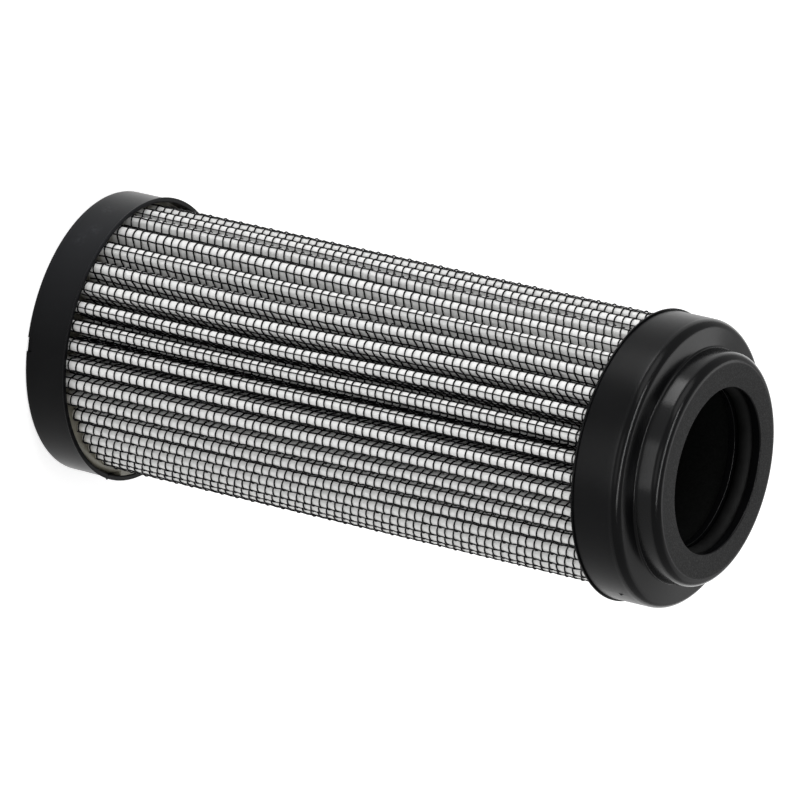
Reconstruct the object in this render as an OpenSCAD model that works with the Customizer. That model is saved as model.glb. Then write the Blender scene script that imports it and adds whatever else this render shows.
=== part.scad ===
// Pleated hydraulic filter element. The flow goes from the outside, through the
// pleated pack and the perforated tube, and out of the neck of the open end cap.
// It stands on its closed end cap. +Z runs along the axis, towards the neck.

/* [End caps] */
// Outer diameter of both end caps' skirts
cap_d = 44.6; // [44:0.1:50]
// Wall of the skirts round the potted pleat ends
skirt_wall = 0.5; // [0.5:0.1:0.9]
// How far the rim at each lip stands proud of the skirt
rim_proud = 0.3; // [0.2:0.05:0.5]
// Height of the rim
rim_h = 0.3; // [0.25:0.05:0.5]
// Distance between the lips of the two skirts
lip_gap = 91.2; // [61.2:5:191.2]
// Closed cap, end face to lip
closed_cap_h = 7.4; // [7:0.1:9]
// Floor of the closed cap
closed_floor = 2.2; // [1.6:0.1:2.6]
// Rounding of the closed cap's end edge
end_round = 0.3; // [0.2:0.1:0.8]
// Width of the gate recess in the closed cap's end edge
gate_w = 2.2; // [1:0.1:3]
// Depth of the gate recess
gate_depth = 0.5; // [0.3:0.1:0.8]

/* [Neck of the open cap] */
// Lip of the open cap to the foot of its neck
shoulder_h = 8.4; // [8:0.1:9.5]
// Radius between the skirt and the shoulder
shoulder_round = 1.55; // [1:0.05:2]
// Slope of the shoulder, up to the neck's foot
shoulder_slope = 8.5; // [4:0.5:10]
// Diameter of the neck's foot
neck_d = 36.4; // [36:0.1:37]
// Height of the neck above its foot
neck_h = 4; // [3.8:0.1:5]
// Draft of the neck's side
neck_draft = 3; // [1:0.5:4]
// Rounding between the neck's side and its face
neck_round = 1.5; // [1:0.1:2.4]
// Small radius in the corner between shoulder and neck
neck_fillet = 0.4; // [0.2:0.1:0.5]
// Depth of the open cap's inside, lip to floor
cup_depth = 5.7; // [5:0.1:5.8]

/* [Spigot bore and seal] */
// Diameter of the land at the mouth
mouth_d = 25.7; // [25.5:0.1:26]
// Height of the mouth land
mouth_land = 1.35; // [1:0.05:1.5]
// Diameter of the throat that guides the spigot
throat_d = 25.2; // [25.1:0.05:25.3]
// Height of the throat
throat_h = 1.1; // [1:0.1:1.3]
// Section of the ring seal
seal_section = 2.62; // [2.6:0.02:2.64]
// Inner diameter of the ring seal, free
seal_id = 24.8; // [24.7:0.05:24.85]
// Height of the seal's groove
groove_h = 3; // [2.8:0.1:3.1]

/* [Support tube] */
// Outer diameter of the perforated tube
tube_d = 28.4; // [28:0.1:28.4]
// Wall of the perforated tube
tube_wall = 0.8; // [0.6:0.1:0.9]
// Diameter of the perforations
hole_d = 3.6; // [2.5:0.1:4]
// Perforations round the tube, an even number
holes_round = 14; // [10:2:14]
// Height between two rows of perforations
row_pitch = 6.4; // [5:0.1:8]

/* [Pleated pack] */
// Number of pleats
pleats = 40; // [34:2:40]
// Radius over the crests, wires included
crest_r = 21.1; // [20.7:0.05:21.2]
// Radius to the centres of the inner folds
fold_r = 15.4; // [15.3:0.05:15.5]
// Outside radius of a crest, wires included
crest_round = 1.1; // [1:0.05:1.2]
// Outside radius in the bottom of a valley, wires included
valley_round = 0.12; // [0.08:0.02:0.16]
// How far the crests stand off centre, towards the crowded side's right
pack_shift = 0.25; // [0:0.05:0.3]

/* [Layers of the pack] */
// Wire of the outer cloth
wire = 0.26; // [0.2:0.02:0.26]
// White cover fleece
cover_t = 0.12; // [0.08:0.02:0.12]
// Glass fibre medium
media_t = 0.2; // [0.15:0.01:0.2]
// Inner backing fleece
backing_t = 0.07; // [0.05:0.01:0.08]
// Inner wire cloth
inner_cloth_t = 0.15; // [0.1:0.01:0.16]
// Hoops that stand for the outer cloth's cross wires
cloth_hoops = 6; // [3:1:7]
// Pleats from one drawn long wire to the next
pleats_per_run = 2; // [2:2:4]

/* [Potting and side seam] */
// Resin surface below the lips
resin_drop = 0.5; // [0.3:0.1:1.5]
// Gap between the pleat ends and the cap floors, filled with resin
pleat_end_gap = 0.4; // [0.3:0.1:0.8]
// Valley that holds the side seam, counted from the first crest
seam_valley = 27; // [22:1:30]
// Radius that the seam's bead reaches
seam_r = 18.4; // [17:0.1:19]

/* [Hidden] */

cap_r = cap_d / 2;
cup_r = cap_r - skirt_wall;
open_lip_z = closed_cap_h + lip_gap;
shoulder_z = open_lip_z + shoulder_h;
face_z = shoulder_z + neck_h;
groove_top_z = face_z - mouth_land;
groove_low_z = groove_top_z - groove_h;
tube_top_z = groove_low_z - throat_h;
open_floor_z = open_lip_z + cup_depth;
seal_r = (seal_id + seal_section) / 2;
groove_r = seal_r + seal_section / 2;
seal_z = groove_low_z + groove_h / 2;
tube_r = tube_d / 2;
pleat_low_z = closed_floor + pleat_end_gap;
pleat_top_z = open_floor_z - pleat_end_gap;
resin_low_z = closed_cap_h - resin_drop;
resin_top_z = open_lip_z + resin_drop;

rim_edge = 0.1;
cup_fillet = 0.3;
mouth_edge = 0.25;
locating_ring_w = 1.1;
locating_ring_h = 1.8;
locating_play = 0.1;
gate_angle = 276;
arc_steps = 10;
crest_steps = 6;
fold_steps = 4;
hoop_crest_points = 3;
hole_margin = 1.2;
cut = 1;

// Depths of the layers under the outer face of the wires
cover_at = wire;
media_at = cover_at + cover_t;
backing_at = media_at + media_t;
cloth_at = backing_at + backing_t;
pack_t = cloth_at + inner_cloth_t;

$fn = 96;

// Points on an arc about c, from angle a to angle b
function arc(c, r, a, b, steps) =
    [for (i = [0:steps]) c + r * [cos(a + (b - a) * i / steps), sin(a + (b - a) * i / steps)]];

// Direction of the crest number u, in degrees. The pleats are crowded on one side of
// the pack and open on the other, so the even spacing is bent by one slow wave.
function crowding(a) = 10.4 * cos(a - 269);
function settle(even, a, n) = n == 0 ? a : settle(even, even + crowding(a), n - 1);
function pleat_angle(u) = settle(190.3 + 360 * u / pleats, 190.3 + 360 * u / pleats, 30);

// Centre of a crest's arc and of the valley's arc after it
crest_centre_r = crest_r - crest_round;
function crest_out(k) = crest_centre_r - pack_shift * cos(pleat_angle(k));
function crest_centre(k) = crest_out(k) * [cos(pleat_angle(k)), sin(pleat_angle(k))];
function valley_centre(k) = fold_r * [cos(pleat_angle(k + 0.5)), sin(pleat_angle(k + 0.5))];

// A leg is the line that touches a crest's arc on one side and a valley's arc on the
// other. Its direction depends only on the sum of the two radii, so every layer of
// the pack, which adds to one radius what it takes from the other, is parallel to it.
// leg_turn is the direction of the leg's outside, measured from the crest's own.
function leg_turn(k, side) =
    let (h = pleat_angle(k + side / 2) - pleat_angle(k),
         v = [fold_r * cos(h) - crest_out(k), fold_r * sin(h)])
    atan2(v.y, v.x) - side * acos((crest_round + valley_round) / norm(v));
function leg_dir(k, side) = pleat_angle(k) + leg_turn(k, side);

// Closed outline of the pleats, at a depth under the outer face of the wires
function pleat_outline(depth) =
    [for (k = [0:pleats - 1]) each concat(
        arc(crest_centre(k), crest_round - depth, leg_dir(k, -1), leg_dir(k, 1), crest_steps),
        arc(valley_centre(k), valley_round + depth, leg_dir(k, 1) + 180,
            leg_dir(k + 1, -1) + 180, fold_steps))];

// The same outline with few corners, drawn round each crest and across each valley
function hoop_outline(depth) =
    [for (k = [0:pleats - 1])
        let (a = leg_dir(k, -1), b = leg_dir(k, 1), step = (b - a) / hoop_crest_points)
        each concat(
            arc(crest_centre(k), (crest_round - depth) / cos(step / 2),
                a + step / 2, b - step / 2, hoop_crest_points - 1),
            arc(valley_centre(k), valley_round + depth, b + 180,
                leg_dir(k + 1, -1) + 180, 1))];

// One layer of the pleated pack, between two depths
module pleated_layer(depth, thickness) {
    translate([0, 0, pleat_low_z])
        linear_extrude(pleat_top_z - pleat_low_z)
            difference() {
                polygon(pleat_outline(depth));
                polygon(pleat_outline(depth + thickness));
            }
}

// Outside of a lip's rim, from low_z up
function rim(low_z) =
    let (r = cap_r + rim_proud - rim_edge)
    concat(arc([r, low_z + rim_edge], rim_edge, -90, 0, 3),
        arc([r, low_z + rim_h - rim_edge], rim_edge, 0, 90, 3));

// Cup with a flat floor, a locating ring for the tube and a gate recess
module closed_end_cap() {
    tube_in = tube_r - tube_wall - locating_play;
    profile = concat(
        [[0, 0]],
        arc([cap_r - end_round, end_round], end_round, -90, 0, arc_steps),
        [[cap_r, closed_cap_h - rim_h]],
        rim(closed_cap_h - rim_h),
        [[cup_r, closed_cap_h]],
        arc([cup_r - cup_fillet, closed_floor + cup_fillet], cup_fillet, 0, -90, 5),
        [[tube_in, closed_floor],
         [tube_in, closed_floor + locating_ring_h - 0.4],
         [tube_in - 0.4, closed_floor + locating_ring_h],
         [tube_in - locating_ring_w, closed_floor + locating_ring_h],
         [tube_in - locating_ring_w, closed_floor],
         [0, closed_floor]]);
    color([0.15, 0.16, 0.165])
        difference() {
            rotate_extrude() polygon(profile);
            rotate(gate_angle)
                translate([cap_r - gate_depth, -gate_w / 2, -cut])
                    cube([gate_depth + cut, gate_w, cut + gate_depth * 2]);
        }
}

// Cup with a sloping shoulder and a drafted neck that holds the seal's groove
module open_end_cap() {
    s = shoulder_slope;
    d = neck_draft;
    neck_r = neck_d / 2;
    mouth_r = mouth_d / 2;
    throat_r = throat_d / 2;
    // The shoulder rises from its rounding's tangent point to the neck's foot
    edge_r = cap_r - shoulder_round;
    skirt_top = shoulder_z - (edge_r + shoulder_round * sin(s) - neck_r) * tan(s)
        - shoulder_round * cos(s);
    // Centre of the arc that touches both the shoulder and the neck's side
    fillet_centre = [neck_r, shoulder_z]
        + neck_fillet / cos(s + d) * [cos(s) - sin(d), cos(d) - sin(s)];
    top_z = face_z - neck_round;
    top_r = neck_r - ((top_z - shoulder_z) * sin(d) + neck_round) / cos(d);
    profile = concat(
        [[cup_r, open_lip_z]],
        rim(open_lip_z),
        [[cap_r, open_lip_z + rim_h]],
        arc([edge_r, skirt_top], shoulder_round, 0, 90 - s, arc_steps),
        arc(fillet_centre, neck_fillet, 270 - s, 180 + d, 4),
        arc([top_r, top_z], neck_round, d, 90, arc_steps),
        arc([mouth_r + mouth_edge, face_z - mouth_edge], mouth_edge, 90, 180, 3),
        [[mouth_r, groove_top_z],
         [groove_r, groove_top_z],
         [groove_r, groove_low_z],
         [throat_r, groove_low_z],
         [throat_r, tube_top_z],
         [tube_r, tube_top_z],
         [tube_r, open_floor_z]],
        arc([cup_r - cup_fillet, open_floor_z - cup_fillet], cup_fillet, 90, 0, 5));
    color([0.15, 0.16, 0.165]) rotate_extrude() polygon(profile);
}

// Ring seal in the neck's groove
module bore_seal() {
    color([0.1, 0.1, 0.105])
        translate([0, 0, seal_z])
            rotate_extrude() translate([seal_r, 0]) circle(d = seal_section, $fn = 48);
}

// Perforated tube that holds the pack up against the flow
module support_tube() {
    low = closed_cap_h + hole_d / 2 + hole_margin;
    high = open_lip_z - hole_d / 2 - hole_margin;
    rows = floor((high - low) / row_pitch);
    start = (low + high - rows * row_pitch) / 2;
    color([0.42, 0.43, 0.44])
        difference() {
            translate([0, 0, closed_floor])
                linear_extrude(tube_top_z - closed_floor)
                    difference() {
                        circle(r = tube_r);
                        circle(r = tube_r - tube_wall);
                    }
            for (row = [0:rows], i = [0:holes_round - 1])
                rotate((i + (row % 2) / 2) * 360 / holes_round)
                    translate([tube_r - tube_wall - cut, 0, start + row * row_pitch])
                        rotate([0, 90, 0])
                            cylinder(h = tube_wall + 2 * cut, d = hole_d, $fn = 24);
        }
}

// Resin that fills a cap round both sides of the pleats. It fills the gap under
// the pleat ends between floor and end, and rises to surface.
module potting(floor_z, end_z, surface_z) {
    bed = [min(floor_z, end_z), max(floor_z, end_z)];
    body = [min(end_z, surface_z), max(end_z, surface_z)];
    translate([0, 0, bed[0]])
        linear_extrude(bed[1] - bed[0])
            difference() {
                circle(r = cup_r - cup_fillet);
                circle(r = tube_r);
            }
    translate([0, 0, body[0]])
        linear_extrude(body[1] - body[0])
            difference() {
                circle(r = cup_r);
                circle(r = tube_r);
                difference() {
                    polygon(pleat_outline(cover_at));
                    polygon(pleat_outline(pack_t));
                }
            }
}

module closed_end_potting() {
    color([0.62, 0.6, 0.5]) potting(closed_floor, pleat_low_z, resin_low_z);
}

module open_end_potting() {
    color([0.62, 0.6, 0.5]) potting(open_floor_z, pleat_top_z, resin_top_z);
}

// Coated wire cloth over the pleats: hoops that follow every pleat, and long wires
// on the crests that tie them into one piece, from resin surface to resin surface.
// It is a pleated wall with a ring of windows cut between each hoop and the next.
module outer_mesh() {
    height = resin_top_z - resin_low_z;
    hoop_step = (height - wire) / (cloth_hoops - 1);
    color([0.13, 0.13, 0.135])
        translate([0, 0, resin_low_z])
            difference() {
                linear_extrude(height)
                    difference() {
                        polygon(hoop_outline(0));
                        polygon(hoop_outline(cover_at));
                    }
                for (i = [0:cloth_hoops - 2])
                    translate([0, 0, i * hoop_step + wire])
                        linear_extrude(hoop_step - wire) window_ring();
            }
}

// Everything at a hoop's radius but the long wires
module window_ring() {
    difference() {
        circle(r = cap_r);
        for (k = [0:pleats_per_run:pleats - 1])
            rotate(pleat_angle(k)) translate([tube_r, -wire / 2]) square([cap_r, wire]);
        circle(r = tube_r - tube_wall);
    }
}

module outer_fleece() {
    color([0.9, 0.9, 0.89]) pleated_layer(cover_at, cover_t);
}

module filter_media() {
    color([0.95, 0.94, 0.9]) pleated_layer(media_at, media_t);
}

module inner_fleece() {
    color([0.88, 0.88, 0.87]) pleated_layer(backing_at, backing_t);
}

module inner_mesh() {
    color([0.2, 0.2, 0.21]) pleated_layer(cloth_at, inner_cloth_t);
}

// Bead that closes the pack where its two ends meet, in one valley
module side_seam() {
    k = seam_valley;
    a = leg_dir(k, 1);
    b = leg_dir(k + 1, -1);
    low = valley_centre(k);
    left_foot = low - valley_round * [cos(a), sin(a)];
    right_foot = low - valley_round * [cos(b), sin(b)];
    rise = seam_r - fold_r;
    left_up = left_foot + rise * [cos(a - 90), sin(a - 90)];
    right_up = right_foot + rise * [cos(b + 90), sin(b + 90)];
    color([0.8, 0.78, 0.7])
        translate([0, 0, resin_low_z])
            linear_extrude(resin_top_z - resin_low_z)
                polygon([left_foot, left_up, right_up, right_foot]);
}

closed_end_cap();
open_end_cap();
bore_seal();
support_tube();
closed_end_potting();
open_end_potting();
outer_mesh();
outer_fleece();
filter_media();
inner_fleece();
inner_mesh();
side_seam();
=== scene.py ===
"""Looks of a pleated hydraulic filter element: the moulded caps, the ring seal, the resin,
the pleated layers and the woven wire cloth, on a pale floor in soft studio light.
Every length is in metres and every angle in radians. +Z runs along the element's axis."""

import math

import bmesh
import bpy
import numpy as np
from bpy.props import FloatProperty, FloatVectorProperty, IntProperty, PointerProperty
from mathutils import Matrix, Vector


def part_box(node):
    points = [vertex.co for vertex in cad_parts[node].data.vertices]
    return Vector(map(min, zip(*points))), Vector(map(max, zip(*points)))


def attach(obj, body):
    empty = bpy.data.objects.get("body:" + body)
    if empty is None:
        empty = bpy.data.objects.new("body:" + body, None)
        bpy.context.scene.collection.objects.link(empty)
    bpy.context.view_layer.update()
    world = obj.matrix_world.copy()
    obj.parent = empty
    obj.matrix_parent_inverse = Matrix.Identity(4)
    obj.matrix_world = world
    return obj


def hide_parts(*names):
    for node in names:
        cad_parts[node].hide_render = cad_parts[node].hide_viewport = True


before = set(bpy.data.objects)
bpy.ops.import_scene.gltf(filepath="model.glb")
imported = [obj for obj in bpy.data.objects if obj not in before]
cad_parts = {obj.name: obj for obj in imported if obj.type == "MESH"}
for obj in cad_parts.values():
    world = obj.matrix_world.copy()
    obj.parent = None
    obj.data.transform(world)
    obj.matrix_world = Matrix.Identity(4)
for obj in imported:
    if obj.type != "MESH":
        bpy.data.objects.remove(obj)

bl_info = {
    "name": "Pleated filter element",
    "version": (1, 0, 0),
    "blender": (4, 5, 0),
    "location": "3D View > Sidebar > Filter",
    "description": "Builds the caps, seal, resin, pleats and wire cloth of a filter element",
    "category": "Add Mesh",
}

MM = 0.001
TURN = 2 * math.pi
QUARTER = math.pi / 2
CLOSE = 0.001  # a small share, for points just beside an edge
WANDER = 0.05 * MM  # how far a wire strays from its line
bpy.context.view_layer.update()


def extent(node):
    """Radius, lowest Z and highest Z of a CAD node."""
    low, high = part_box(node)
    return high.x, low.z, high.z


RIM_R, OPEN_LIP_Z, FACE_Z = extent("open_end_cap")
CLOSED_LIP_Z = extent("closed_end_cap")[2]
TUBE_R, _, TUBE_TOP_Z = extent("support_tube")
CUP_R, CLOSED_FLOOR_Z, RESIN_LOW_Z = extent("closed_end_potting")
_, RESIN_TOP_Z, OPEN_FLOOR_Z = extent("open_end_potting")
_, PLEAT_LOW_Z, PLEAT_TOP_Z = extent("outer_fleece")
SEAL_OUT_R, SEAL_LOW_Z, SEAL_TOP_Z = extent("bore_seal")


def length(name, text, millimetres):
    """A length property with its default given in millimetres."""
    return FloatProperty(name=name, description=text, default=millimetres * MM,
                         min=0.0, precision=5, unit="LENGTH")


def degrees(name, text, value):
    """An angle property with its default given in degrees."""
    return FloatProperty(name=name, description=text, default=math.radians(value),
                         unit="ROTATION")


def colour(name, text, rgb):
    """A linear RGB colour property."""
    return FloatVectorProperty(name=name, description=text, default=rgb, size=3,
                               min=0.0, max=1.0, subtype="COLOR")


class CapSettings(bpy.types.PropertyGroup):
    """Sizes of the two moulded caps and the ring seal."""
    end_round: length("End rounding", "Rounding of the closed cap's end edge", 0.3)
    rim_proud: length("Rim", "How far the lips' rims stand proud", 0.3)
    rim_height: length("Rim height", "Height of the lips' rims", 0.3)
    rim_edge: length("Rim edge", "Rounding of the rim's edges", 0.1)
    lip_round: length("Lip rounding", "Rounding of the lips' inner edges", 0.22)
    cup_fillet: length("Cup fillet", "Fillet inside the cups", 0.3)
    gate_width: length("Gate width", "Width of the gate recess in the end edge", 2.2)
    gate_depth: length("Gate depth", "Depth of the gate recess", 0.5)
    shoulder_height: length("Shoulder", "Lip to the foot of the neck", 8.4)
    shoulder_round: length("Shoulder rounding", "Radius between skirt and shoulder", 1.55)
    shoulder_slope: degrees("Shoulder slope", "Slope of the shoulder up to the neck", 8.5)
    neck_radius: length("Neck radius", "Radius of the neck's foot", 18.2)
    neck_draft: degrees("Neck draft", "Draft of the neck's side", 3)
    neck_round: length("Neck rounding", "Rounding between neck side and face", 1.5)
    neck_fillet: length("Neck fillet", "Corner between shoulder and neck", 0.4)
    face_radius: length("Face", "Radius up to which the neck's face is matte", 17.0)
    mouth_radius: length("Mouth radius", "Radius of the land at the mouth", 12.85)
    mouth_land: length("Mouth land", "Height of the land at the mouth", 1.35)
    groove_height: length("Groove", "Height of the seal's groove", 3.0)
    throat_radius: length("Throat radius", "Radius of the throat below the seal", 12.6)
    plastic: colour("Plastic", "Colour of the moulded caps", (0.0027, 0.0028, 0.0031))
    rubber: colour("Rubber", "Colour of the ring seal", (0.0042, 0.0043, 0.0043))


class PackSettings(bpy.types.PropertyGroup):
    """Sizes of the pleats and of the layers in them."""
    pleats: IntProperty(name="Pleats", description="Number of pleats", default=40, min=3)
    crest_radius: length("Crest radius", "Radius over the crests, wires included", 21.1)
    fold_radius: length("Fold radius", "Radius to the centres of the inner folds", 15.4)
    crest_round: length("Crest rounding", "Outside radius of a crest", 1.1)
    valley_round: length("Valley rounding", "Outside radius in a valley", 0.12)
    pack_shift: length("Shift", "How far the crests stand off centre", 0.25)
    lean_middle: length("Lean middle", "Height at which the leaning pleats turn", 57)
    lean_reach: length("Lean reach", "Half the height over which they turn", 18)
    wire_layer: length("Wire layer", "Thickness of the wire cloth's layer", 0.26)
    cover: length("Cover", "Thickness of the white cover fleece", 0.12)
    media: length("Medium", "Thickness of the glass fibre medium", 0.2)
    backing: length("Backing", "Thickness of the inner fleece", 0.07)
    inner_cloth: length("Inner cloth", "Thickness of the inner wire cloth", 0.15)
    fleece: colour("Fleece", "Colour of the cover fleece", (0.8, 0.8, 0.79))
    fibre: colour("Glass fibre", "Colour of the medium", (0.82, 0.8, 0.72))


class ClothSettings(bpy.types.PropertyGroup):
    """Sizes of the woven wire cloth."""
    cross_pitch: length("Cross pitch", "From one cross wire to the next", 1.411)
    long_pitch: length("Long pitch", "From one long wire to the next, about", 1.81)
    cross_wire: length("Cross wire", "Diameter of the wires round the pack", 0.24)
    long_wire: length("Long wire", "Diameter of the wires along the pack", 0.21)
    crimp: length("Crimp", "How far a wire swings over and under", 0.07)
    coating: colour("Coating", "Colour of the coated wires", (0.0042, 0.0042, 0.0046))


class ResinSettings(bpy.types.PropertyGroup):
    """Sizes and colours of the cast resin and the side seam."""
    unevenness: length("Unevenness", "How far the resin's surface rises and dips", 0.22)
    meniscus: length("Meniscus", "How far the resin climbs a wall", 0.3)
    trough: degrees("Trough", "Direction of the trough beside the cap's wall", 355)
    trough_depth: length("Trough depth", "Depth of that trough", 1.6)
    resin: colour("Resin", "Colour of the potting resin", (0.15, 0.142, 0.11))
    adhesive: colour("Adhesive", "Colour of the side seam", (0.62, 0.58, 0.45))


class StudioSettings(bpy.types.PropertyGroup):
    """Camera and light."""
    lens: FloatProperty(name="Lens", description="Focal length in millimetres",
                        default=373.63, min=1.0)
    floor_white: colour("Floor", "Colour of the floor", (0.86, 0.86, 0.86))
    sky: FloatProperty(name="Sky", description="Strength of the even light", default=0.7,
                       min=0.0)


def add_object(name, data):
    """A new object in the scene."""
    made = bpy.data.objects.new(name, data)
    bpy.context.scene.collection.objects.link(made)
    return made


def put_mesh(name, points, faces, material, uv=None, sharp=None):
    """Makes an object from an array of points (n, 3) and an array of faces (m, 3 or 4).
    uv is an array (m, corners, 2), and sharp is the angle above which an edge is sharp."""
    points = np.ascontiguousarray(points, np.float32).reshape(-1, 3)
    corners = faces.shape[1]
    mesh = bpy.data.meshes.new(name)
    mesh.vertices.add(len(points))
    mesh.vertices.foreach_set("co", points.ravel())
    mesh.loops.add(faces.size)
    mesh.loops.foreach_set("vertex_index", faces.ravel().astype(np.int32))
    mesh.polygons.add(len(faces))
    mesh.polygons.foreach_set("loop_start", np.arange(0, faces.size, corners, dtype=np.int32))
    if uv is not None:
        layer = mesh.uv_layers.new(name="surface")
        layer.data.foreach_set("uv", np.ascontiguousarray(uv, np.float32).ravel())
    mesh.update(calc_edges=True)
    mesh.validate()
    mesh.shade_smooth()
    if sharp is not None:
        mesh.set_sharp_from_angle(angle=sharp)
    mesh.materials.append(material)
    return add_object(name, mesh)


def grid_faces(rows, columns, close_rows=False, close_columns=False):
    """Faces of a grid of points numbered row by row. A closed direction joins its last
    line of points to its first."""
    r = np.arange(rows if close_rows else rows - 1)[:, None]
    c = np.arange(columns if close_columns else columns - 1)[None, :]
    r2, c2 = (r + 1) % rows, (c + 1) % columns
    return np.stack([r * columns + c, r * columns + c2, r2 * columns + c2,
                     r2 * columns + c], -1).reshape(-1, 4)


def arc(centre, radius, start, end, steps):
    """Points on a circle's arc: the centre plus the radius turned from start to end."""
    turn = np.linspace(start, end, steps + 1)
    return np.stack([centre[0] + radius * np.cos(turn), centre[1] + radius * np.sin(turn)], 1)


def turned(name, profile, angles, material, push=None):
    """Carries a closed profile of (radius, height) round the axis, and joins the points
    that meet there. push takes the grids of radius, height and angle and returns new
    radii, for what isn't the same all round."""
    radius, turn = np.meshgrid(profile[:, 0], angles, indexing="ij")
    height = np.broadcast_to(profile[:, 1][:, None], radius.shape)
    if push is not None:
        radius = push(radius, height, turn)
    points = np.stack([radius * np.cos(turn), radius * np.sin(turn), height], -1)
    faces = grid_faces(len(profile), len(angles), True, True)
    piece = put_mesh(name, points, faces, material)
    shape, touching = bmesh.new(), 1e-7
    shape.from_mesh(piece.data)
    bmesh.ops.remove_doubles(shape, verts=shape.verts, dist=touching)
    bmesh.ops.dissolve_degenerate(shape, edges=shape.edges, dist=touching)
    bmesh.ops.recalc_face_normals(shape, faces=shape.faces)
    shape.to_mesh(piece.data)
    shape.free()
    piece.data.shade_smooth()
    piece.data.set_sharp_from_angle(angle=math.radians(32))
    return piece


def even_angles(count, extra=()):
    """Angles spread evenly round the axis, with some extra ones between them."""
    return np.unique(np.append(np.arange(count) * TURN / count, np.mod(extra, TURN)))


def crest_angle(number, pleats):
    """Direction of the crest with a number, which may lie between two. The even spacing
    is bent by one slow wave of the direction itself, so it is settled by repetition."""
    first, bend, crowded = (math.radians(v) for v in (190.3, 10.4, 269))
    angle = even = first + TURN * np.asarray(number, float) / pleats
    for _ in range(40):
        angle = even + bend * np.cos(angle - crowded)
    return angle


def pleat_section(pack, depth, crest_steps, leg_steps, fold_steps):
    """The pleats' outline at a depth under the outer face of the wires, as points (n, 2),
    outward normals (n, 2) and the distance along the outline (n + 1).

    A crest is an arc about a centre near the outside, and a valley is an arc about a
    centre near the tube. A leg is the straight line that touches both, one on each side.
    The depth comes off one radius and is added to the other, so all depths are parallel."""
    k = np.arange(pack.pleats)
    here = crest_angle(k, pack.pleats)
    out = pack.crest_radius - pack.crest_round - pack.pack_shift * np.cos(here)
    crest = np.stack([out * np.cos(here), out * np.sin(here)], -1)
    fold = crest_angle(k + 0.5, pack.pleats)
    valley = pack.fold_radius * np.stack([np.cos(fold), np.sin(fold)], -1)

    def leg_direction(centre, side):
        """Direction in which a crest's arc meets the leg on one side."""
        between = valley if side > 0 else np.roll(valley, 1, 0)
        gap = between - centre
        lean = np.arccos((pack.crest_round + pack.valley_round) / np.hypot(*gap.T))
        turn = np.arctan2(gap[:, 1], gap[:, 0]) - side * lean
        return here + np.mod(turn - here + math.pi, TURN) - math.pi

    left, right = leg_direction(crest, -1), leg_direction(crest, 1)
    next_left = np.roll(left, -1)
    next_left[-1] += TURN

    def bow(centre, radius, start, end, steps, sign):
        """Arcs about many centres. The sign is -1 where the outline turns inwards."""
        share = np.linspace(0, 1, steps + 1)[None, :]
        turn = start[:, None] + (end - start)[:, None] * share
        normal = sign * np.stack([np.cos(turn), np.sin(turn)], -1)
        return centre[:, None] + radius * sign * normal, normal

    on_crest = bow(crest, pack.crest_round - depth, left, right, crest_steps, 1)
    on_fold = bow(valley, pack.valley_round + depth, right + math.pi,
                  next_left + math.pi, fold_steps, -1)

    def straight(start, end, normal):
        """Points inside the legs, evenly spaced."""
        share = (np.arange(1, leg_steps) / leg_steps)[None, :, None]
        points = start[:, None] + (end - start)[:, None] * share
        return points, np.broadcast_to(normal[:, None], points.shape)

    down = straight(on_crest[0][:, -1], on_fold[0][:, 0], on_crest[1][:, -1])
    next_crest = np.roll(on_crest[0][:, 0], -1, 0)
    climb = straight(on_fold[0][:, -1], next_crest, on_fold[1][:, -1])
    points, normals = (np.concatenate(parts, 1).reshape(-1, 2)
                       for parts in zip(on_crest, down, on_fold, climb))
    steps = np.hypot(*(np.roll(points, -1, 0) - points).T)
    return points, normals, np.r_[0, np.cumsum(steps)]


# Where neighbouring pleats lean together, in degrees: direction, spread, and the turn at
# the closed end and at the open end.
LEANS = ((193, 8, 1.4, 3.6), (206, 9, -1.3, 1.6), (245, 17, 1.9, -2.0), (275, 20, -0.4, 0.1),
         (290, 14, 1.0, -0.8), (308, 9, 0.4, -1.8), (322, 8, -0.8, -0.6), (344, 8, -2.0, 2.0))


def stray(points, pack):
    """Turns points about the axis as the real pleats stray from straight. Each bundle in
    LEANS turns by a bell curve of the distance from its direction, and goes from its
    first turn to its last by a hyperbolic tangent of the height."""
    x, y, z = np.moveaxis(points, -1, 0)
    direction = np.mod(np.arctan2(y, x), TURN)
    share = 0.5 + 0.5 * np.tanh((z - pack.lean_middle) / pack.lean_reach)
    turn = np.zeros_like(direction)
    for centre, width, low, high in np.radians(LEANS):
        near = np.exp(-((direction - centre) / width) ** 2 / 2)
        turn += near * (low + (high - low) * share)
    c, s = np.cos(turn), np.sin(turn)
    return np.stack([x * c - y * s, x * s + y * c, z], -1)


def cloth_skew(direction):
    """How far the cloth is pulled up in a direction: a constant and two slow waves."""
    once, twice = direction - math.radians(332), 2 * (direction - math.radians(201))
    return MM * (0.74 + 0.72 * np.cos(once) + 0.33 * np.cos(twice))


def resin_level(direction):
    """Height of the resin in the closed cap. It lies deep on one side and fills the cap
    up to the lip on the other, by a smooth step of the cosine of the direction."""
    deep_side, softness, lip_gap, fall = math.radians(220), 0.45, 0.3 * MM, 2.2 * MM
    step = np.clip(np.cos(direction - deep_side) / softness, 0, 1)
    return CLOSED_LIP_Z - lip_gap - fall * step ** 2 * (3 - 2 * step)


def bell(value, middle, width):
    """A bell curve: the exponential of minus the square of the distance over the width."""
    return np.exp(-((value - middle) / width) ** 2)


def upright(flat, height):
    """Points or directions (..., 2) with their heights, as (..., 3)."""
    return np.concatenate([flat, np.broadcast_to(height, flat.shape[:-1])[..., None]], -1)


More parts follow.
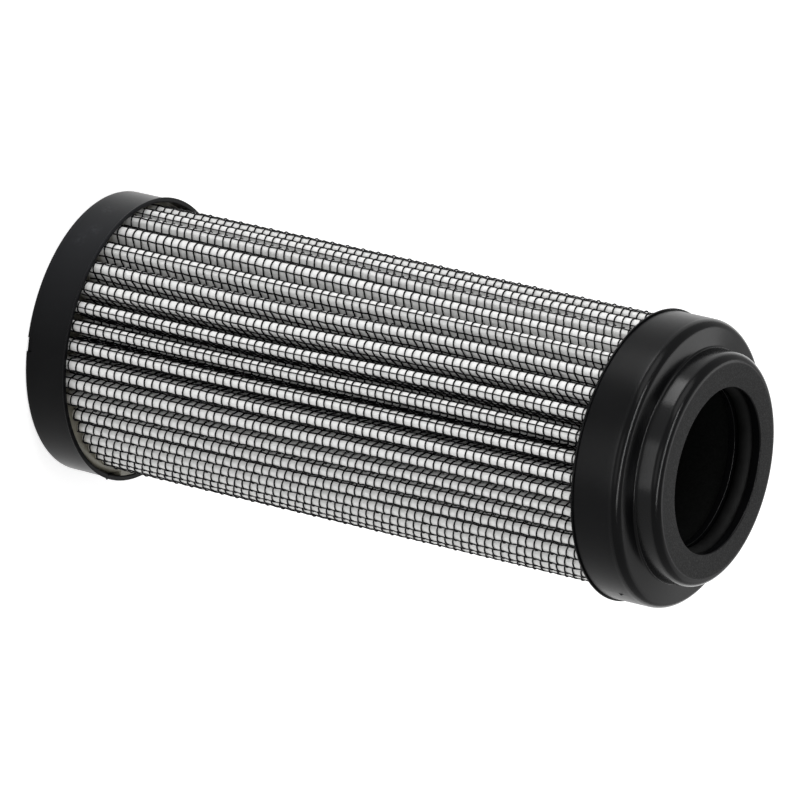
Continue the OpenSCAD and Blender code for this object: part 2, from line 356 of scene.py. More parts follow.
def pleated_shell(name, pack, depth, thickness, heights, steps, material):
    """A closed pleated wall: up its outer face and down its inner face. Its UV map holds
    the distance along the outline and the height over the skewed cloth. The soak
    attribute falls off above the resin, by a bell curve of the distance."""
    outer, _, run = pleat_section(pack, depth, *steps)
    inner = pleat_section(pack, depth + thickness, *steps)[0]
    rows = np.r_[heights, heights[::-1]]
    flat = np.repeat([outer, inner], len(heights), 0)
    points = stray(upright(flat, rows[:, None]), pack)
    faces = grid_faces(*flat.shape[:2], True, True)
    skew = cloth_skew(np.arctan2(outer[:, 1], outer[:, 0]))
    up = np.r_[rows, rows[0]][:, None] - np.r_[skew, skew[0]]
    uv = np.stack([np.broadcast_to(run, up.shape), up], -1).reshape(-1, 2)
    uv = uv[grid_faces(*up.shape)]
    piece = put_mesh(name, points, faces, material, uv, math.radians(50))
    x, y, z = np.moveaxis(points.reshape(-1, 3), -1, 0)
    dry = np.minimum(z - resin_level(np.arctan2(y, x)), RESIN_TOP_Z - z)
    soak = bell(np.maximum(dry, 0), 0, 0.8 * MM)
    piece.data.attributes.new("soak", "FLOAT", "POINT").data.foreach_set(
        "value", soak.astype(np.float32))
    return piece


def repeated(faces, copies, points):
    """Faces of equal pieces, each of which has the next run of points."""
    return (faces[None] + np.arange(copies)[:, None, None] * points).reshape(-1, 4)


def rings(centres, across, upward, radius, sides):
    """Round cross sections along paths: the centre, plus the radius times the sum of two
    directions turned by cosine and sine. centres and directions are (..., n, 3)."""
    turn = np.arange(sides) * TURN / sides + math.pi / sides
    c, s = np.cos(turn)[:, None], np.sin(turn)[:, None]
    return centres[..., None, :] + radius * (across[..., None, :] * c + upward[..., None, :] * s)


def wave(phase, seed, terms=3):
    """A smooth, repeating unevenness between about -1 and 1: a few sines of whole
    numbers of turns, with shares and starts drawn from a seed."""
    draw = np.random.default_rng(seed)
    return sum(draw.uniform(-1, 1) * np.sin(n * phase + draw.uniform(0, TURN)) / n
               for n in range(1, terms + 1))


class Tree:
    """The node tree of a new material or world. An input is a socket, a number or a
    colour, and None leaves it as it is."""

    def __init__(self, name, owners="materials"):
        self.owner = getattr(bpy.data, owners).new(name)
        self.owner.use_nodes = True
        self.nodes, self.links = self.owner.node_tree.nodes, self.owner.node_tree.links

    def put(self, node, inputs):
        """Gives a node its inputs, which are held by name or number."""
        for name, value in inputs.items():
            socket = node.inputs[name]
            if isinstance(value, bpy.types.NodeSocket):
                self.links.new(value, socket)
            elif value is not None:
                socket.default_value = (*value, 1) if socket.type == "RGBA" else value

    def new(self, kind, inputs, **settings):
        """A new node with its settings and inputs."""
        made = self.nodes.new("ShaderNode" + kind)
        for name, value in settings.items():
            setattr(made, name, value)
        self.put(made, inputs)
        return made

    def place(self, kind="Object"):
        """Coordinates in the object, or on its own UV map."""
        return self.new("TexCoord", {}).outputs[kind]

    def split(self, vector):
        """The three parts of a vector."""
        return self.new("SeparateXYZ", {"Vector": vector}).outputs

    def calc(self, operation, first, second=None):
        """One step of arithmetic."""
        return self.new("Math", {0: first, 1: second}, operation=operation).outputs[0]

    def times(self, first, second):
        """A product."""
        return self.calc("MULTIPLY", first, second)

    def noise(self, vector, scale, detail=3.0, roughness=0.55):
        """Noise over a vector."""
        return self.new("TexNoise", {"Vector": vector, "Scale": scale, "Detail": detail,
                                     "Roughness": roughness}).outputs["Fac"]

    def ramp(self, factor, *stops):
        """Colour ramp over a factor. The stops are (position, linear rgb)."""
        made = self.new("ValToRGB", {"Fac": factor})
        elements = made.color_ramp.elements
        for place, _ in stops[1:-1]:
            elements.new(place)
        for element, (place, rgb) in zip(elements, stops):
            element.position, element.color = place, (*rgb, 1)
        return made.outputs["Color"]

    def spread(self, factor, low, high, start=0.0, end=1.0):
        """Maps a factor of start to end onto low to high, and no further."""
        return self.new("MapRange", {"Value": factor, "From Min": start, "From Max": end,
                                     "To Min": low, "To Max": high}).outputs["Result"]

    def blend(self, share, first, second):
        """Goes from a first number to a second as the share goes from 0 to 1."""
        return self.new("Mix", {0: share, 2: first, 3: second}).outputs[0]

    def blend_colour(self, share, first, second):
        """Goes from a first colour to a second as the share goes from 0 to 1."""
        return self.new("Mix", {0: share, 6: first, 7: second}, data_type="RGBA").outputs[2]

    def bump(self, height, distance, strength, under=None):
        """Bump of a height field, over another bump if there is one."""
        return self.new("Bump", {"Height": height, "Distance": distance,
                                 "Strength": strength, "Normal": under}).outputs["Normal"]

    def shade(self, base, roughness, normal=None, specular=None):
        """Gives the shader its inputs and returns the material."""
        self.put(self.nodes["Principled BSDF"], {
            "Base Color": base, "Roughness": roughness, "Normal": normal,
            "Specular IOR Level": specular})
        return self.owner


def tint(rgb, share):
    """A colour times a share."""
    return tuple(c * share for c in rgb)


def spot(tree, place, turn, height, radius, reach):
    """A share that falls from 1 to 0 over a reach round a place on a skirt, which is at a
    direction in degrees and a height in millimetres."""
    turn = math.radians(turn)
    middle = (radius * math.cos(turn), radius * math.sin(turn), height * MM)
    away = tree.new("VectorMath", {0: place, 1: middle}, operation="DISTANCE")
    return tree.spread(away.outputs["Value"], 1, 0, 0, reach)


def moulded_plastic(caps):
    """Glass filled nylon: near black, with soft flow clouds, a fine grain and a gloss
    that varies a little from place to place. The neck and the shoulder are smoother than
    the skirts, and the flat face round the mouth is eroded matte. The closed cap's side that
    faces the key lamp is lightened by a broad patch of painted light, and has rubbed spots
    that the pits break up."""
    tree = Tree("black_nylon")
    place = tree.place()
    skirt, rgb = RIM_R - caps.rim_proud, caps.plastic
    x, y, z = tree.split(place)
    radius = tree.calc("SQRT", tree.calc("ADD", tree.times(x, x), tree.times(y, y)))
    on_top = tree.spread(z, 0, 1, FACE_Z - 0.06 * MM, FACE_Z - 0.02 * MM)
    within = tree.spread(radius, 1, 0, caps.face_radius - 0.5 * MM, caps.face_radius)
    face = tree.times(on_top, within)
    neck = tree.spread(z, 0, 1, OPEN_LIP_Z + 6.2 * MM, OPEN_LIP_Z + 7.2 * MM)
    clouds = tree.noise(place, 160)
    grain = tree.noise(place, 5200, 2, 0.6)
    pits = tree.noise(place, 1500, 3, 0.7)
    spark = tree.noise(place, 4200, 2, 0.7)
    base = tree.ramp(clouds, (0.3, tint(rgb, 0.82)), (0.7, tint(rgb, 1.2)))
    # painted light: a broad lighter patch on the closed cap's skirt, on the side that faces the
    # key lamp
    painted_light_patch = tree.times(0.9, spot(tree, place, 222, 4, skirt, 20 * MM))
    base = tree.blend_colour(painted_light_patch, base, tint(rgb, 7))
    broken = tree.spread(pits, 0, 0.9, 0.42, 0.68)
    scuffs = [tree.times(spot(tree, place, turn, height, skirt, 1.6 * MM), broken)
              for turn, height in ((208, 3.4), (222, 4.2), (228, 3.0))]
    worn = tree.calc("MAXIMUM", scuffs[0], tree.calc("MAXIMUM", *scuffs[1:]))
    base = tree.blend_colour(worn, base, tint(rgb, 12))
    eroded = tree.ramp(spark, (0.35, tint(rgb, 0.1)), (0.7, tint(rgb, 2.0)))
    gloss = tree.calc("ADD", tree.times(clouds, 0.6), tree.times(pits, 0.4))
    smooth = tree.calc("ADD", tree.spread(gloss, -0.08, 0.08), tree.blend(neck, 0.31, 0.19))
    sparkle = tree.times(face, tree.spread(spark, 0.03, 0.17, 0.35, 0.65))
    low = tree.bump(pits, 0.012 * MM, 0.4)
    return tree.shade(tree.blend_colour(face, base, eroded),
                      tree.calc("MAXIMUM", smooth, tree.times(face, 0.62)),
                      tree.bump(grain, 0.01 * MM, 0.5, low),
                      tree.calc("MAXIMUM", tree.blend(neck, 0.047, 0.09), sparkle))


def rubber(rgb):
    """Moulded nitrile: dull black with a faint bloom."""
    tree = Tree("nitrile")
    place = tree.place()
    bloom, grain = tree.noise(place, 420, 4), tree.noise(place, 3800, 2)
    base = tree.ramp(bloom, (0.35, rgb), (0.75, tint(rgb, 1.8)))
    return tree.shade(base, tree.spread(bloom, 0.55, 0.72),
                      tree.bump(grain, 0.01 * MM, 0.6), 0.05)


def coated_metal(name, rgb):
    """Black coated steel: smooth with small runs and dust in the coating."""
    tree = Tree(name)
    place = tree.place()
    dust, runs = tree.noise(place, 2600, 2, 0.7), tree.noise(place, 700)
    base = tree.ramp(dust, (0.4, rgb), (0.8, tint(rgb, 2.2)))
    return tree.shade(base, tree.spread(runs, 0.37, 0.57),
                      tree.bump(runs, 0.02 * MM, 0.5), 0.06)


def cast_resin(name, rgb):
    """Cast resin: cloudy, with trapped bubbles and a soft wet gloss."""
    tree = Tree(name)
    place = tree.place()
    clouds, fine = tree.noise(place, 380, 4), tree.noise(place, 1900)
    bubbles = tree.new("TexVoronoi", {"Scale": 1400, "Vector": place}).outputs["Distance"]
    base = tree.ramp(clouds, (0.3, tint(rgb, 0.72)), (0.5, rgb), (0.72, tint(rgb, 1.35)))
    low = tree.bump(bubbles, 0.03 * MM, 0.4)
    return tree.shade(base, tree.spread(fine, 0.3, 0.5),
                      tree.bump(fine, 0.05 * MM, 0.5, low))


def fleece(name, rgb, cloth, long_pitch, pillow):
    """Non-woven fleece: white bonded fibres, pressed down along every wire so that it
    swells in each mesh of the cloth. The swelling is the product of two cosines of the
    distance along the pleats and of the height, which the piece's own UV map holds."""
    tree = Tree(name)
    place, surface = tree.place(), tree.split(tree.place("UV"))

    def swell(value, pitch, start):
        """0 at a wire and 1.5 between wires: 1.5 times one less the cosine, clamped."""
        turns = tree.times(tree.calc("SUBTRACT", value, start), TURN / pitch)
        return tree.spread(tree.calc("COSINE", turns), 1.5, 0.0)

    along = swell(surface["X"], long_pitch, long_pitch / 2)
    up = swell(surface["Y"], cloth.cross_pitch, RESIN_LOW_Z + cloth.cross_pitch / 2)
    mottle, fibres = tree.noise(place, 1400, 4), tree.noise(place, 6500, 3, 0.75)
    clean = tree.ramp(mottle, (0.3, tint(rgb, 0.96)), (0.7, tint(rgb, 1.03)))
    soak = tree.new("Attribute", {}, attribute_name="soak").outputs["Fac"]
    wet = tree.times(soak, tree.spread(mottle, 0.55, 1.0, 0.3, 0.6))
    low = tree.bump(tree.times(along, up), pillow, 1.0)
    return tree.shade(tree.blend_colour(wet, clean, (0.24, 0.225, 0.18)), 0.85,
                      tree.bump(fibres, 0.012 * MM, 0.4, low), 0.2)


def glass_mat(rgb):
    """Glass fibre mat: cream white, felted."""
    tree = Tree("glass_fibre")
    felt = tree.noise(tree.place(), 4200, 5, 0.8)
    base = tree.ramp(felt, (0.3, tint(rgb, 0.88)), (0.7, rgb))
    return tree.shade(base, 0.9, tree.bump(felt, 0.03 * MM, 0.7))


def inner_cloth_material(rgb):
    """Woven wire cloth inside the pleats, drawn by two sets of ridges on the piece's UV."""
    tree = Tree("inner_wire")
    surface, pitch = tree.split(tree.place("UV")), 1.2 * MM
    ridges = [tree.calc("COSINE", tree.times(surface[axis], TURN / pitch)) for axis in "XY"]
    height = tree.calc("MAXIMUM", *ridges)
    base = tree.ramp(height, (0.55, (0.5, 0.49, 0.45)), (0.75, rgb))
    return tree.shade(base, 0.5, tree.bump(height, 0.08 * MM, 0.8))


class FILTER_OT_caps(bpy.types.Operator):
    """Turn the two moulded end caps"""
    bl_idname = "filter_element.caps"
    bl_label = "End caps"

    def execute(self, context):
        caps = context.scene.filter_caps
        plastic = moulded_plastic(caps)
        for turn_cap, node in ((self.closed, "closed_end_cap"), (self.opened, "open_end_cap")):
            piece = turn_cap(caps, plastic)
            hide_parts(node)
            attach(piece, "root")
        return {"FINISHED"}

    def rim(self, caps, low):
        """Outside of a lip's rim from a height up, with both edges rounded."""
        edge, r = caps.rim_edge, RIM_R - caps.rim_edge
        return np.concatenate([arc((r, low + edge), edge, -QUARTER, 0, 4),
                               arc((r, low + caps.rim_height - edge), edge, 0, QUARTER, 4)])

    def closed(self, caps, plastic):
        """The cup that closes the lower end, with a gate recess in its end edge."""
        skirt, soft, end = RIM_R - caps.rim_proud, caps.lip_round, caps.end_round
        fillet, rim_low = caps.cup_fillet, CLOSED_LIP_Z - caps.rim_height
        floor, recess_top = CLOSED_FLOOR_Z, 2 * caps.gate_depth
        ring_out, ring_top, edge = TUBE_R - 0.9 * MM, floor + 1.8 * MM, 0.4 * MM
        ring_in = ring_out - 1.1 * MM
        profile = np.concatenate([
            [[0, 0], [skirt * 0.5, 0]],
            arc((skirt - end, end), end, -QUARTER, 0, 8),
            [[skirt, recess_top * (1 - CLOSE)], [skirt, recess_top * (1 + CLOSE)],
             [skirt, rim_low]],
            self.rim(caps, rim_low),
            arc((CUP_R + soft, CLOSED_LIP_Z - soft), soft, QUARTER, 2 * QUARTER, 5),
            arc((CUP_R - fillet, floor + fillet), fillet, 0, -QUARTER, 5),
            [[ring_out, floor], [ring_out, ring_top - edge], [ring_out - edge, ring_top],
             [ring_in, ring_top], [ring_in, floor], [0, floor]]])
        gate, half, step = math.radians(276), caps.gate_width / 2 / skirt, 0.0015
        nib, apart = math.radians(349.7), 0.006
        near = [gate - half - step, gate - half, gate + half, gate + half + step,
                *(nib + apart * np.arange(-2, 3))]

        def cut_and_flash(radius, height, turn):
            """Cuts the gate recess and raises the nib at the lip, a product of bells."""
            inside = (np.abs(turn - gate) <= half * (1 + CLOSE)) & (height < recess_top)
            cut = np.minimum(radius, skirt - caps.gate_depth)
            flash = bell(turn, nib, 0.007) * bell(height, CLOSED_LIP_Z, 0.3 * MM)
            return np.where(inside, cut, radius + 0.22 * MM * flash * (radius > CUP_R))

        return turned("closed_cap", profile, even_angles(180, near), plastic, cut_and_flash)

    def opened(self, caps, plastic):
        """The cup with the sloping shoulder and the drafted neck. The shoulder's rounding
        ends where its slope begins, and each rounding at the neck has its centre at its
        radius from both of the lines it touches."""
        skirt, soft, fillet = RIM_R - caps.rim_proud, caps.lip_round, caps.cup_fillet
        s, d = caps.shoulder_slope, caps.neck_draft
        bend, neck_bend, mouth, throat = (caps.shoulder_round, caps.neck_round,
                                          caps.mouth_radius, caps.throat_radius)
        foot = np.array([caps.neck_radius, OPEN_LIP_Z + caps.shoulder_height])
        edge_r = skirt - bend
        skirt_top = (foot[1] - bend * math.cos(s)
                     - (edge_r + bend * math.sin(s) - foot[0]) * math.tan(s))
        corner = foot + caps.neck_fillet / math.cos(s + d) * np.array(
            [math.cos(s) - math.sin(d), math.cos(d) - math.sin(s)])
        top_z = FACE_Z - neck_bend
        top_r = foot[0] - ((top_z - foot[1]) * math.sin(d) + neck_bend) / math.cos(d)
        groove_top = FACE_Z - caps.mouth_land
        groove_low = groove_top - caps.groove_height
        mouth_edge, small = 0.25 * MM, 0.12 * MM
        nib, nib_z = math.radians(336.4), OPEN_LIP_Z + 4.5 * MM
        nib_width, nib_height = 0.01, 0.25 * MM
        wall = [[skirt, nib_z + k * 0.8 * nib_height] for k in range(-3, 4)]
        profile = np.concatenate([
            arc((CUP_R + soft, OPEN_LIP_Z + soft), soft, 2 * QUARTER, 3 * QUARTER, 5),
            self.rim(caps, OPEN_LIP_Z),
            [[skirt, OPEN_LIP_Z + caps.rim_height]], wall,
            arc((edge_r, skirt_top), bend, 0, QUARTER - s, 14),
            arc(corner, caps.neck_fillet, 3 * QUARTER - s, 2 * QUARTER + d, 6),
            arc((top_r, top_z), neck_bend, d, QUARTER, 14),
            [[caps.face_radius - 0.8 * MM, FACE_Z]],
            arc((mouth + mouth_edge, FACE_Z - mouth_edge), mouth_edge, QUARTER, 2 * QUARTER, 5),
            arc((mouth + small, groove_top + small), small, 2 * QUARTER, 3 * QUARTER, 3),
            [[SEAL_OUT_R, groove_top], [SEAL_OUT_R, groove_low]],
            arc((throat + small, groove_low - small), small, QUARTER, 2 * QUARTER, 3),
            arc((throat + small, TUBE_TOP_Z + small), small, 2 * QUARTER, 3 * QUARTER, 3),
            [[TUBE_R, TUBE_TOP_Z], [TUBE_R, OPEN_FLOOR_Z]],
            arc((CUP_R - fillet, OPEN_FLOOR_Z - fillet), fillet, QUARTER, 0, 5)])

        def flash(radius, height, turn):
            """Raises the nib on the skirt, a product of two bells."""
            proud = 0.2 * MM * bell(turn, nib, nib_width) * bell(height, nib_z, nib_height)
            return radius + proud * (radius > skirt * (1 - CLOSE))

        near = nib + 0.6 * nib_width * np.arange(-4, 5)
        return turned("open_cap", profile, even_angles(240, near), plastic, flash)


class FILTER_OT_seal(bpy.types.Operator):
    """Turn the ring seal in the neck's groove"""
    bl_idname = "filter_element.seal"
    bl_label = "Ring seal"

    def execute(self, context):
        half = (SEAL_TOP_Z - SEAL_LOW_Z) / 2
        profile = arc((SEAL_OUT_R - half, SEAL_LOW_Z + half), half, 0, TURN, 40)[:-1]
        ring = turned("ring_seal", profile, even_angles(200),
                      rubber(context.scene.filter_caps.rubber))
        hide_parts("bore_seal")
        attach(ring, "root")
        return {"FINISHED"}


class FILTER_OT_layers(bpy.types.Operator):
    """Fold the cover fleece, the medium, the backing and the inner wire cloth"""
    bl_idname = "filter_element.layers"
    bl_label = "Pleated layers"

    def execute(self, context):
        pack, cloth = context.scene.filter_pack, context.scene.filter_cloth
        run = pleat_section(pack, pack.wire_layer, 12, 4, 4)[2][-1]
        long_pitch = run / wire_count(pack, cloth)
        cover = fleece("white_fleece", pack.fleece, cloth, long_pitch, 0.025 * MM)
        backing = fleece("backing_fleece", pack.fleece, cloth, long_pitch, 0.02 * MM)
        close, wide = 0.35 * MM, 4.5 * MM
        low, top = CLOSED_LIP_Z - 3 * MM, OPEN_LIP_Z - 1.5 * MM
        dense = np.r_[PLEAT_LOW_Z, low:low + 5 * MM:close, low + 6 * MM:top - wide / 2:wide,
                      top:top + 2.5 * MM:close, PLEAT_TOP_Z]
        fine = (dense, (9, 5, 3))
        plain = (np.linspace(PLEAT_LOW_Z, PLEAT_TOP_Z, 9), (6, 2, 2))
        depth = pack.wire_layer
        for name, node, slot, thickness, grid, material in (
                ("cover_fleece", "outer_fleece", "white_fleece", pack.cover, fine, cover),
                ("fibre_medium", "filter_media", "glass_fibre", pack.media, plain,
                 glass_mat(pack.fibre)),
                ("backing_layer", "inner_fleece", "white_fleece", pack.backing, plain, backing),
                ("inner_wire_cloth", "inner_mesh", "coated_wire", pack.inner_cloth, plain,
                 inner_cloth_material(cloth.coating))):
            piece = pleated_shell(name, pack, depth, thickness, *grid, material)
            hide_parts(node)
            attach(piece, "root")
            depth += thickness
        return {"FINISHED"}


def wire_count(pack, cloth):
    """Number of long wires round the pack: even, so that the weave closes."""
    run = pleat_section(pack, pack.wire_layer / 2, 12, 4, 4)[2][-1]
    return 2 * round(run / cloth.long_pitch / 2)


class FILTER_OT_cloth(bpy.types.Operator):
    """Weave the coated wire cloth over the pleats"""
    bl_idname = "filter_element.cloth"
    bl_label = "Wire cloth"

    def execute(self, context):
        pack, cloth = context.scene.filter_pack, context.scene.filter_cloth
        material = coated_metal("coated_wire", cloth.coating)
        sunk = 1  # wires that start in the resin
        count = int((RESIN_TOP_Z - RESIN_LOW_Z) / cloth.cross_pitch + sunk)
        heights = RESIN_LOW_Z + (np.arange(count) - sunk + 0.5) * cloth.cross_pitch
        pieces = self.cross_wires(pack, cloth, heights, material)
        pieces.append(self.long_wires(pack, cloth, heights, material))
        for piece in pieces:
            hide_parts("outer_mesh")
            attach(piece, "root")
        return {"FINISHED"}

    def cross_wires(self, pack, cloth, heights, material, sides=4, groups=3):
        """Wires round the pack. Each follows the pleats at the middle of the cloth's
        layer, and swings out and in by a cosine that has half a turn from one long wire
        to the next, and starts the other way on every second wire."""
        flat, normal, run = pleat_section(pack, pack.wire_layer / 2, 8, 5, 2)
        along = run[:-1]
        skew = cloth_skew(np.arctan2(flat[:, 1], flat[:, 0]))
        turns = math.pi * wire_count(pack, cloth) / run[-1]
        pieces = []
        for group, members in enumerate(np.array_split(np.arange(len(heights)), groups)):
            start = math.pi * members[:, None]
            swing = cloth.crimp * np.cos(turns * along - QUARTER + start)
            drift = np.stack([wave(along * TURN / run[-1], 100 + i, 9) for i in members])
            level = heights[members][:, None] + skew + WANDER * drift
            centre = upright(flat + normal * swing[..., None], level)
            across = np.broadcast_to(upright(normal, 0), centre.shape)
            upward = np.broadcast_to([0.0, 0.0, 1.0], centre.shape)
            points = stray(rings(centre, across, upward, cloth.cross_wire / 2, sides), pack)
            faces = repeated(grid_faces(len(flat), sides, True, True), len(members),
                             len(flat) * sides)
            pieces.append(put_mesh(f"cross_wires_{group + 1}", points, faces, material))
        return pieces

    def long_wires(self, pack, cloth, heights, material, sides=4):
        """Wires along the pack, from resin to resin. Each stands at one place on the
        pleats' outline, and goes straight from under one cross wire to over the next."""
        flat, normal, run = pleat_section(pack, pack.wire_layer / 2, 40, 4, 12)
        count = wire_count(pack, cloth)
        place = (np.arange(count) + 0.5) * run[-1] / count
        x, y, out_x, out_y = (np.interp(place, run, np.append(v, v[0]))
                              for v in (*flat.T, *normal.T))
        outward = np.stack([out_x, out_y], -1) / np.hypot(out_x, out_y)[:, None]
        sideways = np.stack([-outward[:, 1], outward[:, 0]], -1)
        pitch = cloth.cross_pitch
        height = np.r_[heights[0] - pitch, heights, heights[-1] + pitch]
        crossing = np.arange(len(height)) - 1 + np.arange(count)[:, None]
        swing = -cloth.crimp * np.cos(math.pi * crossing)
        drift = WANDER * np.stack([wave(height * 40, 500 + j, 4) for j in range(count)])
        path = (np.stack([x, y], -1)[:, None] + outward[:, None] * swing[..., None]
                + sideways[:, None] * drift[..., None])
        centre = upright(path, height + cloth_skew(np.arctan2(y, x))[:, None])
        across, beside = (np.broadcast_to(upright(way, 0)[:, None], centre.shape)
                          for way in (outward, sideways))
        points = stray(rings(centre, across, beside, cloth.long_wire / 2, sides), pack)
        ends = np.array([[3, 2, 1, 0], [0, 1, 2, 3]]) + [[0], [(len(height) - 1) * sides]]
        one = np.concatenate([grid_faces(len(height), sides, False, True), ends])
        faces = repeated(one, count, len(height) * sides)
        return put_mesh("long_wires", points, faces, material)


class FILTER_OT_resin(bpy.types.Operator):
    """Cast the resin in both caps"""
    bl_idname = "filter_element.resin"
    bl_label = "Potting resin"

    def execute(self, context):
        settings, pack = context.scene.filter_resin, context.scene.filter_pack
        material = cast_resin("potting_resin", settings.resin)
        for name, node, floor, surface, up, grid, seed in (
                ("closed_end_resin", "closed_end_potting", CLOSED_FLOOR_Z, resin_level,
                 1, (900, 20), 11),
                ("open_end_resin", "open_end_potting", OPEN_FLOOR_Z,
                 lambda turn: np.full_like(turn, RESIN_TOP_Z), -1, (360, 12), 23)):
            piece = self.cast(name, pack, settings, floor, surface, up, grid, seed, material)
            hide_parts(node)
            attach(piece, "root")
        return {"FINISHED"}

    def cast(self, name, pack, settings, floor, surface, up, grid, seed, material):
        """A ring of resin between the tube and the cap's wall. Its free surface lies at
        the height that surface gives for a direction, plus slow waves. It climbs the cloth
        by an exponential of the distance to it, and beside the cap's wall it sinks into a
        trough or climbs, by slow waves of the direction."""
        columns, steps = grid
        turn = np.arange(columns) * TURN / columns
        radius = np.linspace(TUBE_R, CUP_R - 0.01 * MM, steps)
        radius = np.sort(np.append(radius, CUP_R - np.array([0.15, 0.3]) * MM))
        r, t = np.meshgrid(radius, turn, indexing="ij")
        flat = np.stack([r * np.cos(t), r * np.sin(t)], -1)
        outline = upright(pleat_section(pack, 0, 8, 6, 2)[0], surface(np.zeros(1))[0])
        outline = stray(outline, pack)[:, :2]
        gap = np.stack([np.min(np.hypot(*(row[:, None] - outline).transpose(2, 0, 1)), 1)
                        for row in flat])
        slow = wave(t, seed, 7) * 0.5 + wave(t * 3 + r * 900, seed + 1, 5) * 0.35
        beside = bell(r, CUP_R, 0.35 * MM)
        trough = bell(t, settings.trough, math.radians(24))
        climb = (beside * (0.5 + 0.5 * wave(t, seed + 2, 6))
                 + 0.6 * np.exp(-gap / (0.2 * MM)))
        rise = (settings.unevenness * slow + settings.meniscus * climb
                - settings.trough_depth * beside * trough)
        top = upright(flat, surface(t) + up * rise)
        round_axis = np.stack([np.cos(turn), np.sin(turn)], -1)
        bottom = [upright(round_axis * wide, floor) for wide in (CUP_R * 0.96, TUBE_R)]
        points = np.concatenate([top, bottom])
        faces = grid_faces(len(points), columns, True, True)
        if up > 0:
            faces = faces[:, ::-1]
        return put_mesh(name, points, faces, material, sharp=math.radians(60))


class FILTER_OT_inside(bpy.types.Operator):
    """Finish the perforated tube and the side seam, which keep their CAD shape"""
    bl_idname = "filter_element.inside"
    bl_label = "Tube and seam"

    def execute(self, context):
        adhesive = context.scene.filter_resin.adhesive
        for node, material in (
                ("support_tube", coated_metal("coated_tube", (0.0042, 0.0044, 0.0042))),
                ("side_seam", cast_resin("seam_adhesive", adhesive))):
            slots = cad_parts[node].data.materials
            slots.clear()
            slots.append(material)
        return {"FINISHED"}


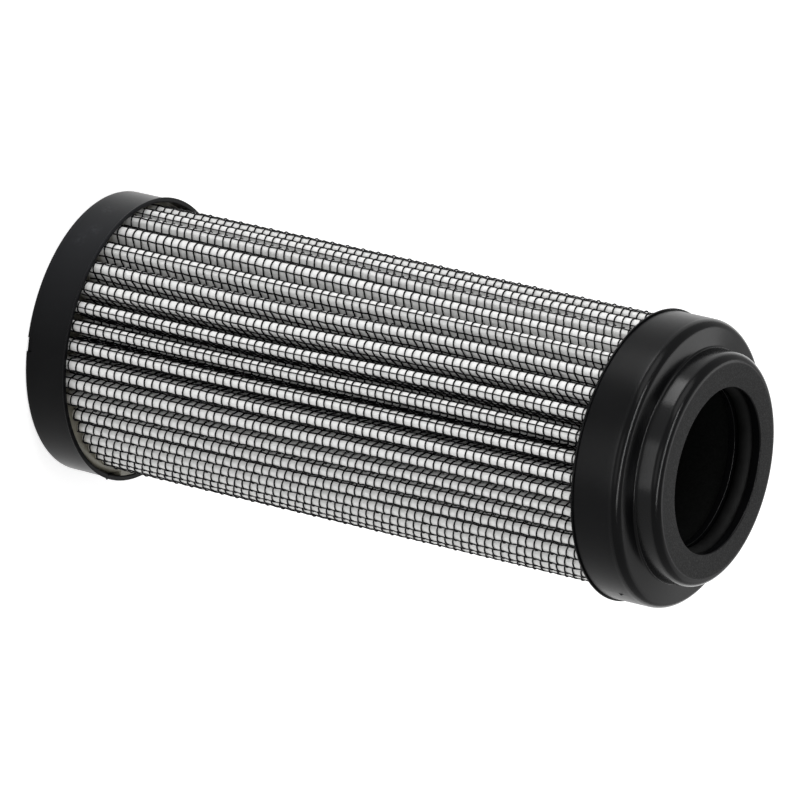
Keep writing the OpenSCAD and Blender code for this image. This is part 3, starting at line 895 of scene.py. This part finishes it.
class FILTER_OT_stage(bpy.types.Operator):
    """Set the floor, the light and the camera"""
    bl_idname = "filter_element.stage"
    bl_label = "Stage"

    def execute(self, context):
        scene, studio = context.scene, context.scene.filter_studio
        scene.view_settings.view_transform = "Standard"
        self.floor(studio)
        self.sky(scene, studio)
        self.lamps()
        self.camera(scene, studio)
        return {"FINISHED"}

    def floor(self, studio):
        """A flat square. A glow that only the camera and reflections see lifts its lit part
        to white, and leaves the object's shadow."""
        points = 4.0 * np.array([[-1, -1, 0], [1, -1, 0], [1, 1, 0], [-1, 1, 0]])
        tree = Tree("floor")
        tree.shade(studio.floor_white, 0.9, specular=0.1)
        path = tree.new("LightPath", {}).outputs
        mirrored = tree.times(0.9, tree.calc("MAXIMUM", path["Is Glossy Ray"],
                                             path["Is Transmission Ray"]))
        seen = tree.times(0.5, path["Is Camera Ray"])
        glow = tree.new("Emission", {"Strength": tree.calc("MAXIMUM", mirrored, seen)})
        both = tree.new("AddShader", {0: tree.nodes["Principled BSDF"].outputs[0],
                                      1: glow.outputs[0]})
        tree.put(tree.nodes["Material Output"], {"Surface": both.outputs[0]})
        floor = put_mesh("floor", points, np.array([[0, 1, 2, 3]]), tree.owner)

    def sky(self, scene, studio):
        """Even light from all round, white where the camera sees it."""
        tree = Tree("sky", "worlds")
        seen = tree.new("LightPath", {}).outputs["Is Camera Ray"]
        tree.put(tree.nodes["Background"], {
            "Color": (1, 1, 1), "Strength": tree.calc("MAXIMUM", seen, studio.sky)})
        scene.world = tree.owner

    def lamps(self):
        """Soft boxes. Each is given by its direction from a target, its distance, its
        width and height, and its power in watts. Three large ones light the element from
        its middle. The small ones near the neck show only as reflections."""
        middle, neck = FACE_Z / 2, FACE_Z - 4 * MM
        for name, target, towards, distance, width, tall, power in (
                ("key", (0, 0, middle), (-0.92, -0.35, 0.48), 0.75, 0.5, 0.5, 2.6),
                ("front", (0, 0, middle), (0.05, -0.95, 0.45), 0.85, 0.5, 0.4, 1.15),
                ("back", (0, 0, middle), (0.3, 0.8, 0.6), 0.9, 0.65, 0.52, 0.65),
                ("left_window", (-0.013, -0.015, neck), (-0.89, -0.27, -0.36),
                 0.16, 0.085, 0.026, 0.1),
                ("left_sill", (-0.015, -0.017, neck), (-0.87, -0.2, -0.55),
                 0.16, 0.05, 0.03, 0.008),
                ("front_window", (0, -0.02, neck), (0.04, -0.93, -0.36),
                 0.16, 0.13, 0.026, 0.078),
                ("front_sill", (0, -0.022, neck), (0.1, -0.87, -0.55),
                 0.16, 0.07, 0.03, 0.008),
                ("overhead", (0, -0.018, neck), (-0.07, -0.315, 0.945),
                 0.18, 0.25, 0.022, 0.5),
                ("rear", (-0.005, -0.019, neck), (-0.026, 0.743, 0.669),
                 0.5, 0.24, 0.3, 0.6)):
            data = bpy.data.lights.new(name, "AREA")
            data.shape = "RECTANGLE"
            data.size, data.size_y, data.energy = width, tall, power
            lamp = add_object(name, data)
            towards = Vector(towards).normalized()
            lamp.location = Vector(target) + towards * distance
            lamp.rotation_mode = "QUATERNION"
            lamp.rotation_quaternion = (-towards).to_track_quat("-Z", "Y")
            lamp.visible_diffuse = target[2] == middle

    def camera(self, scene, studio):
        """A long lens from above the open end, rolled so that the axis lies across."""
        data = bpy.data.cameras.new("camera")
        data.lens = studio.lens
        data.sensor_width = 36.0
        data.clip_start, data.clip_end = 0.05, 20.0
        scene.camera = add_object("camera", data)
        place = (-0.124507, -1.103731, 0.684225)
        right = (-0.168595, 0.502719, 0.847845)
        upward = (-0.980826, -0.00026, -0.194882)
        back = (-0.097745, -0.864447, 0.493123)
        turn = Matrix((right, upward, back)).transposed().to_4x4()
        scene.camera.matrix_world = Matrix.Translation(place) @ turn


class FILTER_PT_panel(bpy.types.Panel):
    """Lists the pieces and their settings"""
    bl_label = "Filter element"
    bl_idname = "FILTER_PT_panel"
    bl_space_type = "VIEW_3D"
    bl_region_type = "UI"
    bl_category = "Filter"

    def draw(self, context):
        for step in STEPS:
            self.layout.operator(step.bl_idname, text=step.bl_label)
        for name in SETTINGS:
            group = getattr(context.scene, name)
            box = self.layout.box()
            for value in group.bl_rna.properties.keys():
                if value not in ("rna_type", "name"):
                    box.prop(group, value)


STEPS = (FILTER_OT_stage, FILTER_OT_caps, FILTER_OT_seal, FILTER_OT_layers,
         FILTER_OT_cloth, FILTER_OT_resin, FILTER_OT_inside)
SETTINGS = {"filter_caps": CapSettings, "filter_pack": PackSettings,
            "filter_cloth": ClothSettings, "filter_resin": ResinSettings,
            "filter_studio": StudioSettings}
CLASSES = (*SETTINGS.values(), *STEPS, FILTER_PT_panel)


def register():
    """Registers the classes and hangs the settings on the scene."""
    for item in CLASSES:
        bpy.utils.register_class(item)
    for name, group in SETTINGS.items():
        setattr(bpy.types.Scene, name, PointerProperty(type=group))


def unregister():
    """Takes the settings and the classes away again."""
    for name in SETTINGS:
        delattr(bpy.types.Scene, name)
    for item in reversed(CLASSES):
        bpy.utils.unregister_class(item)


def main():
    """Builds every piece in order."""
    register()
    for step in STEPS:
        group, name = step.bl_idname.split(".")
        getattr(getattr(bpy.ops, group), name)()


if __name__ == "__main__":
    main()
